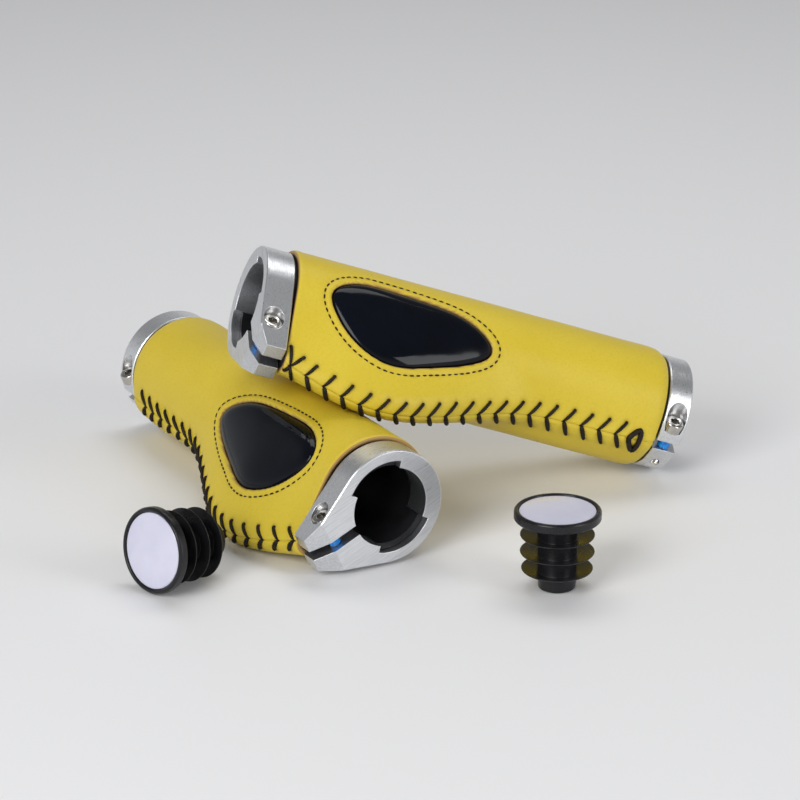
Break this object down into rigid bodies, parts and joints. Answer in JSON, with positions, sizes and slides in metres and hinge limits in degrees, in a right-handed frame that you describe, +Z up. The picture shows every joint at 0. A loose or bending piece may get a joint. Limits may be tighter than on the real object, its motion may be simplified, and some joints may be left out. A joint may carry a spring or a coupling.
{
  "type": "lock-on handlebar grip pair with end plugs",
  "caption": "Mirrored handlebar grips with palm wings, sewn leather, gel pads and split clamps, laid out with loose bar-end plugs.",
  "frame": {"origin": "centre of the bounding box on the floor plane", "axes": "+Z up, +X and +Y level; the set lies on the floor as laid out"},
  "size_m": [0.1648, 0.145, 0.0727],
  "materials": {
    "yellow_leather": "smooth satin leather",
    "waxed_thread": "waxed thread",
    "gel": "glossy soft gel",
    "core_plastic": "moulded black",
    "foam_rubber": "moulded rubber",
    "clamp_aluminium": "fine brushed",
    "bolt_steel": "polished",
    "thread_lock": "dried compound",
    "plug_plastic": "moulded black",
    "label": "domed resin, bare"
  },
  "bodies": {
    "right_grip": {"right_core_sleeve": "core_plastic", "right_palm_body": "foam_rubber", "right_leather_cover": "yellow_leather", "right_seam_lacing": "waxed_thread", "right_window_stitching": "waxed_thread", "right_gel_pad": "gel"},
    "right_outer_clamp": {"right_outer_clamp": "clamp_aluminium"},
    "right_outer_clamp_bolt": {"right_outer_clamp_bolt": "bolt_steel", "right_outer_bolt_patch": "thread_lock"},
    "right_inner_clamp": {"right_inner_clamp": "clamp_aluminium"},
    "right_inner_clamp_bolt": {"right_inner_clamp_bolt": "bolt_steel", "right_inner_bolt_patch": "thread_lock"},
    "left_grip": {"left_core_sleeve": "core_plastic", "left_palm_body": "foam_rubber", "left_leather_cover": "yellow_leather", "left_seam_lacing": "waxed_thread", "left_window_stitching": "waxed_thread", "left_gel_pad": "gel"},
    "left_outer_clamp": {"left_outer_clamp": "clamp_aluminium"},
    "left_outer_clamp_bolt": {"left_outer_clamp_bolt": "bolt_steel", "left_outer_bolt_patch": "thread_lock"},
    "left_inner_clamp": {"left_inner_clamp": "clamp_aluminium"},
    "left_inner_clamp_bolt": {"left_inner_clamp_bolt": "bolt_steel", "left_inner_bolt_patch": "thread_lock"},
    "lying_plug": {"lying_plug_body": "plug_plastic", "lying_plug_label": "label"},
    "standing_plug": {"standing_plug_body": "plug_plastic", "standing_plug_label": "label"}
  },
  "joints": [
    {"name": "right_outer_clamp_slide", "type": "slide", "parent": "right_grip", "child": "right_outer_clamp", "axis": [0.5045, -0.8634, 0], "range_m": [0, 0.012]},
    {"name": "right_outer_clamp_bolt_turn", "type": "hinge", "parent": "right_outer_clamp", "child": "right_outer_clamp_bolt", "pos_m": [-0.01876, -0.05155, 0.01001], "axis": [-0.3583, -0.2094, 0.9098], "continuous": true},
    {"name": "right_inner_clamp_slide", "type": "slide", "parent": "right_grip", "child": "right_inner_clamp", "axis": [-0.5045, 0.8634, 0], "range_m": [0, 0.012]},
    {"name": "right_inner_clamp_bolt_turn", "type": "hinge", "parent": "right_inner_clamp", "child": "right_inner_clamp_bolt", "pos_m": [-0.07717, 0.05526, 0.01159], "axis": [-0.3583, -0.2094, 0.9098], "continuous": true},
    {"name": "left_outer_clamp_slide", "type": "slide", "parent": "left_grip", "child": "left_outer_clamp", "axis": [-0.9273, -0.1786, 0.3289], "range_m": [0, 0.012]},
    {"name": "left_outer_clamp_bolt_turn", "type": "hinge", "parent": "left_outer_clamp", "child": "left_outer_clamp_bolt", "pos_m": [-0.03831, -0.01128, 0.05117], "axis": [0.3661, -0.2509, 0.8961], "continuous": true},
    {"name": "left_inner_clamp_slide", "type": "slide", "parent": "left_grip", "child": "left_inner_clamp", "axis": [0.9273, 0.1786, -0.3289], "range_m": [0, 0.012]},
    {"name": "left_inner_clamp_bolt_turn", "type": "hinge", "parent": "left_inner_clamp", "child": "left_inner_clamp_bolt", "pos_m": [0.07425, 0.01407, 0.01228], "axis": [0.3661, -0.2509, 0.8961], "continuous": true},
    {"name": "left_grip_lift", "type": "slide", "parent": "right_grip", "child": "left_grip", "axis": [0, 0, 1], "range_m": [0, 0.06]},
    {"name": "lying_plug_lift", "type": "slide", "parent": "right_grip", "child": "lying_plug", "axis": [0, 0, 1], "range_m": [0, 0.05]},
    {"name": "standing_plug_lift", "type": "slide", "parent": "right_grip", "child": "standing_plug", "axis": [0, 0, 1], "range_m": [0, 0.05]}
  ]
}
